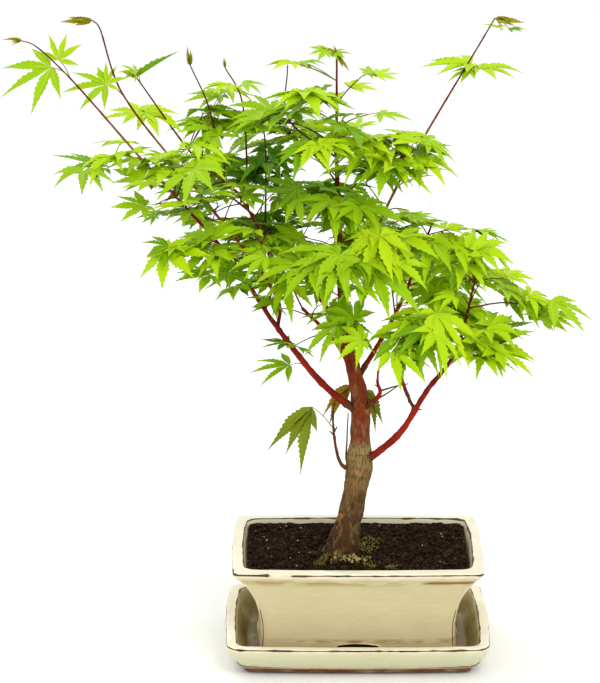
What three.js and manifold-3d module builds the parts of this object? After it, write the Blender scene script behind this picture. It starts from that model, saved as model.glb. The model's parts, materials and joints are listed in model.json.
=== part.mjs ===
// A potted japanese maple grown as a small bonsai: a glazed pot with its drip tray, the soil, a
// leaning tapered trunk, the main boughs, the long young shoots and the masses of foliage.
// Millimetres, +Z up. The origin is the centre of the tray's flat underside, +X is the viewer's
// right and the front of the plant faces -Y.

import * as THREE from "three";
import { mergeVertices } from "three/addons/utils/BufferGeometryUtils.js";
import Module from "manifold-3d";

const wasm = await Module();
wasm.setup();

// ---- driving dimensions ------------------------------------------------------------------------

const CLEARANCE = 0.5; // between pieces that grow against each other
const SMOOTHING = 0.15; // how far a cut piece may stray from its exact skin
const BOW = 1.8; // how far the long and short sides of pot and tray swell outwards

const TRAY = { length: 190, width: 135, height: 23, corner: 11, floor: 7, foot: 4.5 };
const POT = { length: 180, width: 125, top: 79, corner: 5, wall: 6, footHeight: 12.5 };
const SLOT = { front: 26, side: 21, height: 12 }; // drainage slots through the foot
const SOIL_LEVEL = 73; // the ground that the trunk is cut flat at, 6 mm under the pot's rim
const SOIL_GAP = 0.3;

const BARK = new THREE.Color("#6f4a30");
const RED_BARK = new THREE.Color("#8f2f20");
const SHOOT_BARK = new THREE.Color("#a8552a");
const GLAZE = new THREE.Color("#d8cca0");
const EARTH = new THREE.Color("#2c1e13");
const FRESH_LEAF = new THREE.Color("#86b50c");
const SHADED_LEAF = new THREE.Color("#4f7d10");
const OLIVE_LEAF = new THREE.Color("#7a8a1c");
const BRONZE_LEAF = new THREE.Color("#a08a2a");

const glazeMaterial = new THREE.MeshStandardMaterial({ color: GLAZE, roughness: 0.3 });
const earthMaterial = new THREE.MeshStandardMaterial({ color: EARTH, roughness: 1 });
const barkMaterial = new THREE.MeshStandardMaterial({ color: BARK, roughness: 0.85 });
const redBarkMaterial = new THREE.MeshStandardMaterial({ color: RED_BARK, roughness: 0.6 });
const shootMaterial = new THREE.MeshStandardMaterial({ color: SHOOT_BARK, roughness: 0.5 });

function leafMaterial(color) {
  return new THREE.MeshStandardMaterial({ color, roughness: 0.6 });
}

// ---- closed solids from rings ------------------------------------------------------------------

// A closed skin over rings of equally many points, each end shut by a fan round its middle. The
// rings turn anticlockwise seen from the end that the skin runs towards.
function loft(rings) {
  const count = rings[0].length;
  const middle = (ring) =>
    ring.reduce((sum, p) => sum.add(p), new THREE.Vector3()).divideScalar(count);
  const points = [...rings.flat(), middle(rings[0]), middle(rings.at(-1))];
  const first = points.length - 2;
  const last = points.length - 1;
  const faces = [];
  for (let i = 0; i < count; i += 1) {
    const next = (i + 1) % count;
    faces.push(first, next, i);
    const top = (rings.length - 1) * count;
    faces.push(last, top + i, top + next);
    for (let ring = 0; ring < rings.length - 1; ring += 1) {
      const low = ring * count;
      const high = low + count;
      faces.push(low + i, low + next, high + next);
      faces.push(low + i, high + next, high + i);
    }
  }
  return new THREE.BufferGeometry().setFromPoints(points).setIndex(faces);
}

function toSolid(geometry) {
  const plain = geometry.clone();
  plain.deleteAttribute("normal");
  plain.deleteAttribute("uv");
  const merged = mergeVertices(plain, 1e-4);
  return new wasm.Manifold(
    new wasm.Mesh({
      numProp: 3,
      vertProperties: new Float32Array(merged.attributes.position.array),
      triVerts: new Uint32Array(merged.index.array),
    }),
  );
}

function toGeometry(solid) {
  const mesh = solid.getMesh();
  const geometry = new THREE.BufferGeometry();
  geometry.setAttribute("position", new THREE.BufferAttribute(mesh.vertProperties, 3));
  geometry.setIndex(new THREE.BufferAttribute(mesh.triVerts, 1));
  geometry.computeVertexNormals();
  return geometry;
}

// A copy of a solid with its skin moved outwards by the clearance.
function swollen(geometry) {
  const copy = mergeVertices(geometry.clone(), 1e-4);
  copy.computeVertexNormals();
  const { position, normal } = copy.attributes;
  const point = new THREE.Vector3();
  const outwards = new THREE.Vector3();
  for (let i = 0; i < position.count; i += 1) {
    point.fromBufferAttribute(position, i);
    point.addScaledVector(outwards.fromBufferAttribute(normal, i), CLEARANCE);
    position.setXYZ(i, point.x, point.y, point.z);
  }
  return toSolid(copy);
}

// What is left of a solid once its neighbours are cut away: its biggest piece.
function cutBack(solid, neighbours) {
  let left = solid;
  for (const neighbour of neighbours) left = left.subtract(neighbour);
  const pieces = left.simplify(SMOOTHING).decompose();
  return pieces.reduce((best, piece) => (piece.volume() > best.volume() ? piece : best));
}

const plant = new THREE.Group();

function addPiece(name, geometry, material) {
  const mesh = new THREE.Mesh(geometry, material);
  mesh.name = name;
  plant.add(mesh);
}

// ---- pot, tray and soil ------------------------------------------------------------------------

const CORNER_STEPS = 2;
const SIDE_STEPS = 3;

// A rounded rectangle with softly bowed sides at one height, anticlockwise seen from above.
function rectangleRing(length, width, corner, z) {
  const points = [];
  const centres = [
    [length / 2 - corner, -width / 2 + corner, -90],
    [length / 2 - corner, width / 2 - corner, 0],
    [-length / 2 + corner, width / 2 - corner, 90],
    [-length / 2 + corner, -width / 2 + corner, 180],
  ];
  centres.forEach(([x, y, start], side) => {
    for (let step = 0; step <= CORNER_STEPS; step += 1) {
      const angle = THREE.MathUtils.degToRad(start + (90 * step) / CORNER_STEPS);
      points.push(new THREE.Vector3(x + corner * Math.cos(angle), y + corner * Math.sin(angle), z));
    }
    const from = points.at(-1);
    const [nextX, nextY, nextStart] = centres[(side + 1) % 4];
    const nextAngle = THREE.MathUtils.degToRad(nextStart);
    const to = new THREE.Vector3(
      nextX + corner * Math.cos(nextAngle), nextY + corner * Math.sin(nextAngle), z,
    );
    const outwards = new THREE.Vector3(to.y - from.y, from.x - to.x, 0).normalize();
    for (let step = 1; step < SIDE_STEPS; step += 1) {
      const share = step / SIDE_STEPS;
      const swell = BOW * (1 - (2 * share - 1) ** 2);
      points.push(from.clone().lerp(to, share).addScaledVector(outwards, swell));
    }
  });
  return points;
}

// Rings of one vessel from its profile: each station is [inset from the rim, height, corner].
function vessel(size, profile) {
  const rings = profile.map(([inset, z, corner]) =>
    rectangleRing(size.length - 2 * inset, size.width - 2 * inset, corner, z),
  );
  return loft(rings);
}

// The tray: a flat foot set well in, a bowl-shaped wall, a flat rim 7 mm wide and a sunk floor.
function makeTray() {
  const rim = TRAY.height;
  return vessel(TRAY, [
    [12.5, 0, 5],
    [12, TRAY.foot, 6],
    [9, TRAY.foot + 1, 7],
    [4.4, 11.5, 9],
    [1.2, 18, 10],
    [0, rim - 1.5, TRAY.corner],
    [0.8, rim, TRAY.corner],
    [7, rim, 9],
    [9, rim - 3, 9],
    [15, TRAY.floor + 1, 8],
    [18, TRAY.floor, 7],
  ]);
}

// The pot: a hollow foot with a drainage slot in each side, walls that curve out to a proud lip
// with a crease under it, and the cavity that holds the soil.
const POT_FLOOR = TRAY.floor + POT.footHeight + POT.wall;

// The cavity, from its floor up to the inner edge of the rim.
const CAVITY = [
  [25.5, POT_FLOOR, 8],
  [25, 37, 9],
  [22, 51, 10],
  [17, 62, 10],
  [11, 70, 10],
  [8.6, 75, 10],
  [8, POT.top - 0.6, 10],
];

function makePot() {
  const base = TRAY.floor;
  const shell = vessel(POT, [
    [29, base + POT.footHeight, 5],
    [27, base, 5],
    [18.5, base, 6],
    [19.7, 26, 6],
    [19, 37, 6],
    [16, 51, 6],
    [11, 62, 5.5],
    [6.5, 69, 5],
    [4.8, 72, 5],
    [0.5, 74.2, POT.corner],
    [0, POT.top - 1.2, POT.corner],
    [1.4, POT.top, POT.corner],
    ...CAVITY.toReversed(),
  ]);
  const acrossLength = new THREE.BoxGeometry(SLOT.front, POT.width, 2 * SLOT.height);
  const acrossWidth = new THREE.BoxGeometry(POT.length, SLOT.side, 2 * SLOT.height);
  const slots = [acrossLength, acrossWidth].map((box) => toSolid(box.translate(0, 0, base)));
  return toGeometry(cutBack(toSolid(shell), slots));
}

// The soil fills the cavity up to the ground level, clear of the walls and resting on the floor.
function makeSoil() {
  const stations = CAVITY.filter(([, z]) => z < SOIL_LEVEL);
  const [below, above] = [stations.at(-1), CAVITY[stations.length]];
  const share = (SOIL_LEVEL - below[1]) / (above[1] - below[1]);
  const top = [below[0] + share * (above[0] - below[0]), SOIL_LEVEL, below[2]];
  return vessel(POT, [...stations, top].map(([inset, z, corner]) => [inset + SOIL_GAP, z, corner]));
}

addPiece("tray", makeTray(), glazeMaterial);
addPiece("pot", makePot(), glazeMaterial);
addPiece("soil", makeSoil(), earthMaterial);

// ---- trunk, boughs and shoots ------------------------------------------------------------------

// One leg of growth: its length, its heading seen from above (0 right, 90 back, 180 left and 270
// front) and its rise above level, both in degrees.
function growth([length, heading, rise]) {
  const turn = THREE.MathUtils.degToRad(heading);
  const climb = THREE.MathUtils.degToRad(rise);
  const level = length * Math.cos(climb);
  return new THREE.Vector3(level * Math.cos(turn), level * Math.sin(turn), length * Math.sin(climb));
}

// The centre line of a limb that grows on from a point in legs, with its bends rounded.
function centreLine(start, legs) {
  const points = [start];
  for (const leg of legs) points.push(points.at(-1).clone().add(growth(leg)));
  return new THREE.CatmullRomCurve3(points, false, "centripetal");
}

// A tapering limb along its centre line. A rooted limb keeps its sections level, from its flat cut at
// the ground up, and its foot swells in three lobes.
const ROOTS = { flare: 4.5, reach: 0.07, lobe: 0.16, count: 3 };

function limbGeometry(path, { foot, tip, taper = 1, sides = 5, steps = 7, rooted = false }) {
  const frames = path.computeFrenetFrames(steps, false);
  const rings = [];
  for (let step = 0; step <= steps; step += 1) {
    const share = step / steps;
    const centre = path.getPointAt(share);
    const across = rooted ? new THREE.Vector3(1, 0, 0) : frames.normals[step];
    const aside = rooted ? new THREE.Vector3(0, 1, 0) : frames.binormals[step];
    const rootShare = rooted ? Math.max(0, 1 - share / ROOTS.reach) : 0;
    const girth = tip + (foot - tip) * (1 - share) ** taper + ROOTS.flare * rootShare;
    const ring = [];
    for (let side = 0; side < sides; side += 1) {
      const angle = (2 * Math.PI * side) / sides;
      const radius = girth * (1 + ROOTS.lobe * rootShare * Math.cos(ROOTS.count * angle));
      ring.push(
        centre.clone()
          .addScaledVector(across, radius * Math.cos(angle))
          .addScaledVector(aside, radius * Math.sin(angle)),
      );
    }
    rings.push(ring);
  }
  return loft(rings);
}

const TRUNK_FOOT = new THREE.Vector3(-14, -12, SOIL_LEVEL);

// Each limb leaves its parent at a share of the parent's length, with a radius at foot and tip. The
// trunk leans to the right up to its first forks, then comes back to the left and runs up thin.
const LIMBS = [
  {
    name: "trunk", material: barkMaterial, foot: 11.5, tip: 0.9,
    taper: 1.7, sides: 10, steps: 16, rooted: true,
    legs: [[70, 20, 78], [50, 90, 87], [55, 150, 80], [100, 150, 86], [98, 255, 88]],
  },
  {
    name: "left_bough", from: ["trunk", 0.3], material: redBarkMaterial, foot: 4, tip: 2.1,
    legs: [[38, 195, 42], [56, 195, 53], [30, 180, 57]],
  },
  {
    name: "far_left_shoot", from: ["left_bough", 1], material: shootMaterial, foot: 2, tip: 0.7,
    steps: 9, legs: [[110, 188, 51], [102, 188, 50], [48, 185, 27]],
  },
  {
    name: "second_left_shoot", from: ["left_bough", 0.75], material: shootMaterial,
    foot: 2, tip: 0.7, steps: 10,
    legs: [[18, 80, 72], [86, 165, 53], [104, 187, 54], [48, 180, 72], [21, 180, 5]],
  },
  {
    name: "third_left_shoot", from: ["second_left_shoot", 0.07], material: shootMaterial,
    foot: 1.7, tip: 0.8, steps: 8,
    legs: [[40, 115, 58], [40, 165, 60], [38, 185, 40], [75, 190, 56]],
  },
  {
    name: "right_bough", from: ["trunk", 0.19], material: redBarkMaterial, foot: 3.9, tip: 1.3,
    steps: 8, legs: [[40, 340, 42], [44, 330, 58], [35, 345, 56], [62, 352, 76]],
  },
  {
    name: "right_bough_twig", from: ["right_bough", 0.38], material: redBarkMaterial,
    foot: 1.7, tip: 1.2, steps: 3, legs: [[22, 180, 68], [22, 165, 78]],
  },
  {
    name: "right_long_shoot", from: ["trunk", 0.43], material: shootMaterial,
    foot: 2.2, tip: 0.8, steps: 9, legs: [[35, 30, 70], [45, 15, 80], [48, 0, 67], [134, 352, 61]],
  },
  {
    name: "left_centre_bough", from: ["trunk", 0.38], material: redBarkMaterial,
    foot: 3.4, tip: 2, steps: 4, legs: [[27, 205, 68], [46, 197, 47]],
  },
  {
    name: "right_short_bough", from: ["trunk", 0.3], material: redBarkMaterial,
    foot: 2.6, tip: 1.4, steps: 5, legs: [[22, 335, 44], [10, 205, 78], [22, 20, 82]],
  },
  {
    name: "low_left_twig", from: ["trunk", 0.18], material: redBarkMaterial,
    foot: 1.6, tip: 0.7, steps: 6, legs: [[15, 207, 26], [41, 228, 76], [23, 200, 23]],
  },
  {
    name: "rear_left_bough", from: ["trunk", 0.44], material: redBarkMaterial,
    foot: 2.6, tip: 1.4, legs: [[31, 135, 44], [85, 150, 45], [30, 170, 37]],
  },
  {
    name: "rear_right_bough", from: ["trunk", 0.36], material: redBarkMaterial,
    foot: 2.8, tip: 1.4, legs: [[63, 48, 44], [69, 28, 65]],
  },
];

const paths = {}; // the centre line of each limb, by name
const limbGrowths = []; // each limb swollen, to cut back what grows beside it

for (const limb of LIMBS) {
  const start = limb.from ? paths[limb.from[0]].getPointAt(limb.from[1]) : TRUNK_FOOT;
  const path = centreLine(start, limb.legs);
  const geometry = limbGeometry(path, limb);
  const solid = cutBack(toSolid(geometry), limbGrowths);
  addPiece(limb.name, toGeometry(solid), limb.material);
  paths[limb.name] = path;
  limbGrowths.push(swollen(geometry));
}

// ---- foliage -----------------------------------------------------------------------------------

// Random numbers in -1..1 that come out the same every time.
function seeded(seed) {
  let state = seed * 2654435761;
  return () => {
    state = (Math.imul(state ^ (state >>> 15), 2246822519) + 3266489917) >>> 0;
    return state / 2147483648 - 1;
  };
}

// The sizes that the pads of leaves come in: length along X, breadth along Y and depth.
const PADS = {
  broad: [92, 72, 17],
  wide: [81, 64, 16],
  middle: [68, 62, 15],
  spray: [67, 48, 9],
  narrow: [57, 56, 13],
  small: [45, 44, 11],
  leaf: [41, 44, 8],
  shoot: [83, 36, 9],
  tip: [45, 24, 7],
  bud: [31, 26, 8],
};

// How a pad lies, as its lean with the front edge down and its roll with the right edge down, in
// degrees. Shingles tip outwards like the tiles of a dome, the more the further out they lie.
const FRONT_LEAN = 8;
const HANGING_LEAN = 26;
const UPRIGHT_LEAN = 66;
const DOME_LEAN = 0.42; // degrees for each millimetre towards the front
const DOME_ROLL = 0.12; // degrees for each millimetre to the right
const POSTURES = {
  shingle: (at) => [FRONT_LEAN - DOME_LEAN * at.y, DOME_ROLL * at.x],
  hanging: (at) => [HANGING_LEAN - DOME_LEAN * at.y, DOME_ROLL * at.x],
  flat: () => [FRONT_LEAN, 0],
  upright: () => [UPRIGHT_LEAN, 0],
};

// One mass of leaves as a closed uneven pad. Its fringe runs out to leaf tips with notches between
// them, the middle is domed and the tips droop.
const PAD_RINGS = [[0.55, -0.42], [1, -0.05], [0.6, 0.4]]; // share of the reach, share of the depth
const TIPS = 7; // leaf tips round a large pad, and one less round a small one
const SMALL = 60;
const NOTCH = 0.72;
const DROOP = 0.16;
const UNEVEN = 0.09;
const TIP_SHIFT = 0.25; // how far a leaf tip strays round the fringe, as a share of its step
const TURN = 14; // how far a pad is turned about its own middle, in degrees

function massGeometry(at, pad, posture, seed) {
  const random = seeded(seed);
  const [length, breadth, depth] = PADS[pad];
  const count = 2 * (length < SMALL ? TIPS - 1 : TIPS);
  const rings = PAD_RINGS.map(([reach, height]) => {
    const ring = [];
    for (let i = 0; i < count; i += 1) {
      const angle = (2 * Math.PI * (i + TIP_SHIFT * random())) / count;
      const fringe = reach === 1 && i % 2 === 1 ? NOTCH : 1;
      const out = reach * fringe * (1 + UNEVEN * random());
      const drop = DROOP * out * out * Math.min(length, breadth);
      ring.push(
        new THREE.Vector3(
          (length / 2) * out * Math.cos(angle),
          (breadth / 2) * out * Math.sin(angle),
          depth * height * (1 + UNEVEN * random()) - drop,
        ),
      );
    }
    return ring;
  });
  const [lean, roll, turn] = [...POSTURES[posture](at), TURN * random()].map((angle) =>
    THREE.MathUtils.degToRad(angle),
  );
  return loft(rings).rotateZ(turn).rotateY(roll).rotateX(lean).translate(at.x, at.y, at.z);
}

// Each mass: the limb that carries it, the share of that limb's length where its stem leaves, the
// stem as one leg of growth that ends in the middle of the mass, its pad and how it lies.
const MASSES = [
  ["far_left_tip_leaves", "far_left_shoot", 0.74, [30, 185, 20], "narrow", "hanging"],
  ["second_left_tip_leaves", "second_left_shoot", 0.72, [28, 180, 30], "leaf", "flat"],
  ["third_left_tip_leaves", "third_left_shoot", 0.97, [18, 5, 50], "tip", "flat"],
  ["third_left_shoot_leaves", "third_left_shoot", 0.8, [20, 165, 25], "spray", "flat"],
  ["left_outer_leaves", "far_left_shoot", 0.46, [28, 200, 15], "middle", "shingle"],
  ["left_leaves", "far_left_shoot", 0.34, [32, 275, 50], "broad", "shingle"],
  ["left_upper_leaves", "third_left_shoot", 0.58, [30, 100, 85], "middle", "shingle"],
  ["upper_left_leaves", "third_left_shoot", 0.66, [54, 35, 53], "narrow", "flat"],
  ["left_lower_leaves", "far_left_shoot", 0.16, [38, 250, 20], "middle", "shingle"],
  ["left_hanging_leaves", "second_left_shoot", 0.2, [30, 150, -30], "small", "shingle"],
  ["top_left_leaves", "trunk", 0.83, [63, 200, 24], "narrow", "shingle"],
  ["top_leaves", "trunk", 0.89, [43, 235, 23], "narrow", "shingle"],
  ["top_tip_leaves", "trunk", 0.94, [34, 155, 20], "tip", "flat"],
  ["leader_tip_leaves", "trunk", 0.98, [12, 190, 60], "bud", "flat"],
  ["leader_leaves", "trunk", 0.9, [18, 60, 35], "narrow", "flat"],
  ["leader_front_leaves", "trunk", 0.79, [66, 260, 25], "narrow", "shingle"],
  ["inner_left_leaves", "third_left_shoot", 0.36, [34, 70, 52], "middle", "shingle"],
  ["inner_top_leaves", "right_long_shoot", 0.44, [40, 225, 47], "narrow", "shingle"],
  ["inner_leaves", "trunk", 0.67, [42, 265, 27], "wide", "shingle"],
  ["right_upper_leaves", "right_long_shoot", 0.52, [48, 265, 27], "broad", "shingle"],
  ["right_shoot_leaves", "right_long_shoot", 0.82, [12, 20, 25], "shoot", "flat"],
  ["right_shoot_tip_leaves", "right_long_shoot", 1, [10, 15, -45], "bud", "flat"],
  ["shaded_inner_leaves", "second_left_shoot", 0.24, [55, 60, 0], "narrow", "shingle"],
  ["front_leaves", "trunk", 0.55, [92, 260, 22], "broad", "shingle"],
  ["left_front_leaves", "left_centre_bough", 1, [86, 240, 44], "small", "shingle"],
  ["left_under_leaves", "left_bough", 0.84, [40, 285, 46], "small", "hanging"],
  ["front_under_leaves", "trunk", 0.44, [66, 265, 25], "small", "hanging"],
  ["right_centre_leaves", "right_long_shoot", 0.24, [75, 280, 13], "middle", "hanging"],
  ["right_inner_leaves", "right_long_shoot", 0.3, [50, 0, -5], "broad", "shingle"],
  ["right_arching_leaves", "right_bough", 1, [15, 200, 80], "narrow", "hanging"],
  ["far_right_leaves", "right_bough", 0.84, [58, 15, 0], "middle", "shingle"],
  ["right_middle_leaves", "right_bough", 0.88, [28, 115, -12], "middle", "shingle"],
  ["right_lower_leaves", "right_bough", 0.72, [24, 330, -5], "middle", "hanging"],
  ["right_front_leaves", "right_bough_twig", 1, [62, 285, 20], "middle", "shingle"],
  ["olive_leaf", "low_left_twig", 1, [20, 200, -65], "leaf", "upright"],
  ["low_left_leaf", "left_bough", 0.4, [26, 180, 12], "leaf", "shingle"],
  ["bronze_leaves", "trunk", 0.28, [24, 95, 20], "leaf", "upright"],
  ["rear_top_leaves", "trunk", 0.75, [78, 120, 20], "broad", "shingle"],
  ["rear_left_leaves", "rear_left_bough", 1, [24, 125, 15], "broad", "shingle"],
  ["rear_centre_leaves", "trunk", 0.6, [96, 100, 15], "broad", "shingle"],
  ["rear_right_leaves", "rear_right_bough", 1, [38, 150, -15], "broad", "shingle"],
  ["rear_low_right_leaves", "rear_right_bough", 0.62, [60, 25, 0], "wide", "shingle"],
  ["rear_low_left_leaves", "rear_left_bough", 0.5, [62, 120, -5], "wide", "shingle"],
  ["rear_low_leaves", "rear_right_bough", 0.42, [69, 90, 17], "wide", "shingle"],
];

const TINTS = {
  inner_left_leaves: SHADED_LEAF,
  shaded_inner_leaves: SHADED_LEAF,
  olive_leaf: OLIVE_LEAF,
  bronze_leaves: BRONZE_LEAF,
};

// The stem that carries a mass: it leaves its limb and arches up into the middle of the mass.
const STEM = { foot: 1.2, tip: 0.8, sides: 4, steps: 2 };
const STEM_ARCH = 0.1; // of its length

function stemPath(limb, share, leg) {
  const from = paths[limb].getPointAt(share);
  const to = from.clone().add(growth(leg));
  const middle = from.clone().lerp(to, 0.5);
  middle.z += STEM_ARCH * leg[0];
  return new THREE.CatmullRomCurve3([from, middle, to], false, "centripetal");
}

// The stems grow first. Each mass is then cut back round the limbs, the stems of the others and the
// masses before it, and joined to its own stem.
const stems = MASSES.map(([, limb, share, leg]) => {
  const path = stemPath(limb, share, leg);
  return { geometry: limbGeometry(path, STEM), end: path.getPointAt(1) };
});
const stemGrowths = [];
for (const stem of stems) {
  stem.solid = cutBack(toSolid(stem.geometry), [...limbGrowths, ...stemGrowths]);
  stemGrowths.push(swollen(stem.geometry));
}

const massGrowths = [];
MASSES.forEach(([name, , , , pad, posture], index) => {
  const geometry = massGeometry(stems[index].end, pad, posture, index + 1);
  const otherStems = stemGrowths.filter((_, other) => other !== index);
  const leaves = cutBack(toSolid(geometry), [...limbGrowths, ...otherStems, ...massGrowths]);
  const mass = leaves.add(stems[index].solid);
  addPiece(name, toGeometry(mass), leafMaterial(TINTS[name] ?? FRESH_LEAF));
  massGrowths.push(swollen(geometry));
});

export default plant;
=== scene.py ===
"""A potted japanese maple grown as a small bonsai: stoneware pot and tray with a cream glaze, damp
soil with moss, a leaning trunk, crimson boughs, long young shoots and sprays of lobed leaves."""

import json
import math
import random

import bpy
from mathutils import Matrix, Vector, noise


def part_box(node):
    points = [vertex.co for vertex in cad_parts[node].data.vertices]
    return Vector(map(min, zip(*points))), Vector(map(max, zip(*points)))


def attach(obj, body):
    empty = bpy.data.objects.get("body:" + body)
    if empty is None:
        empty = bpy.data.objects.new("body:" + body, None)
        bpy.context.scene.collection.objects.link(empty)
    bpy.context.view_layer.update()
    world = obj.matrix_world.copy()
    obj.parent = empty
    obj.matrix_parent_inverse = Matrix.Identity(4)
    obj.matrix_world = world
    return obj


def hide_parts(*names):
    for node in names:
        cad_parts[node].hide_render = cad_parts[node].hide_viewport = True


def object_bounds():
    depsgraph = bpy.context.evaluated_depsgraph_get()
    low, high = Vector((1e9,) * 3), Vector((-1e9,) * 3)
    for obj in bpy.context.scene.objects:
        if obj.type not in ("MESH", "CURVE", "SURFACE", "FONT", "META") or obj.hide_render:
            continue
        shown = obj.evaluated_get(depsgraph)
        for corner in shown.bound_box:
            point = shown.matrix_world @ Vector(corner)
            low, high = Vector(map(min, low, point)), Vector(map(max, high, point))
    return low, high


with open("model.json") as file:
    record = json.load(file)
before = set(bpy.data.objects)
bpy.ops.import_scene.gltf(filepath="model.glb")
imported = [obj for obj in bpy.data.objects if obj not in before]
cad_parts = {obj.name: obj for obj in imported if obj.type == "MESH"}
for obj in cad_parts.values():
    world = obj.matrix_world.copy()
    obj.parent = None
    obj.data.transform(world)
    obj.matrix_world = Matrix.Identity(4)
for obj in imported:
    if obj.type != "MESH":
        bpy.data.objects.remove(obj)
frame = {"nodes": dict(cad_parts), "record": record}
CAD_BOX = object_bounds()

MM = 0.001
UP = Vector((0, 0, 1))
SOIL_LEVEL = 73  # millimetres above the foot of the tray


# ---- making meshes -----------------------------------------------------------------------------

class Skin:
    """Points and faces of one piece, gathered from many small parts, with a finish for each face."""

    def __init__(self):
        self.points = []
        self.faces = []
        self.finishes = []
        self.marks = []

    def add(self, points, faces, finish=0, marks=None):
        start = len(self.points)
        self.points.extend(points)
        self.faces.extend(tuple(start + i for i in face) for face in faces)
        finishes = finish if isinstance(finish, list) else [finish] * len(faces)
        self.finishes.extend(finishes)
        self.marks.extend(marks or [0.0] * len(points))

    def piece(self, name, slot, materials, nodes=(), mark="mark", smooth=True):
        mesh = bpy.data.meshes.new(name)
        mesh.from_pydata([tuple(p) for p in self.points], [], self.faces)
        for material in materials:
            mesh.materials.append(material)
        mesh.polygons.foreach_set("material_index", self.finishes)
        mesh.polygons.foreach_set("use_smooth", [smooth] * len(self.faces))
        mesh.attributes.new(mark, "FLOAT", "POINT").data.foreach_set("value", self.marks)
        mesh.update()
        made = bpy.data.objects.new(name, mesh)
        bpy.context.collection.objects.link(made)
        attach(made, "root")
        if nodes:
            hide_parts(*nodes)
        return made


def rings_to_faces(rows, around, closed=False):
    """Faces between rows of points that each go once round, and a face over each end if closed."""
    faces = []
    for row in range(rows - 1):
        for i in range(around):
            nxt = (i + 1) % around
            low, high = row * around, (row + 1) * around
            faces.append((low + i, low + nxt, high + nxt, high + i))
    if closed:
        faces.append(tuple(reversed(range(around))))
        faces.append(tuple(range((rows - 1) * around, rows * around)))
    return faces


def sheet(half_length, half_width, columns, rows, height_at):
    """An open sheet round the origin, in millimetres, with its height at each place."""
    points, faces = [], []
    for row in range(rows + 1):
        for column in range(columns + 1):
            x = (2 * column / columns - 1) * half_length
            y = (2 * row / rows - 1) * half_width
            points.append(Vector((x, y, height_at(x, y))) * MM)
    for row in range(rows):
        for column in range(columns):
            first = row * (columns + 1) + column
            faces.append((first, first + 1, first + columns + 2, first + columns + 1))
    return points, faces


def unevenness(point, size, depth=3):
    """Soft random relief in about -1..1 whose lumps are the given size across."""
    return noise.fractal(Vector(point) / size, 0.6, 2.0, depth, noise_basis="PERLIN_ORIGINAL")


# ---- colours and materials ---------------------------------------------------------------------

def colour(code):
    """An sRGB hex value as linear red, green, blue and alpha."""
    parts = [int(code[i:i + 2], 16) / 255 for i in (1, 3, 5)]
    return tuple(c / 12.92 if c <= 0.04045 else ((c + 0.055) / 1.055) ** 2.4 for c in parts) + (1.0,)


def every(millimetres):
    """The scale of a pattern that repeats about every so many millimetres."""
    return 1 / (millimetres * MM)


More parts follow.
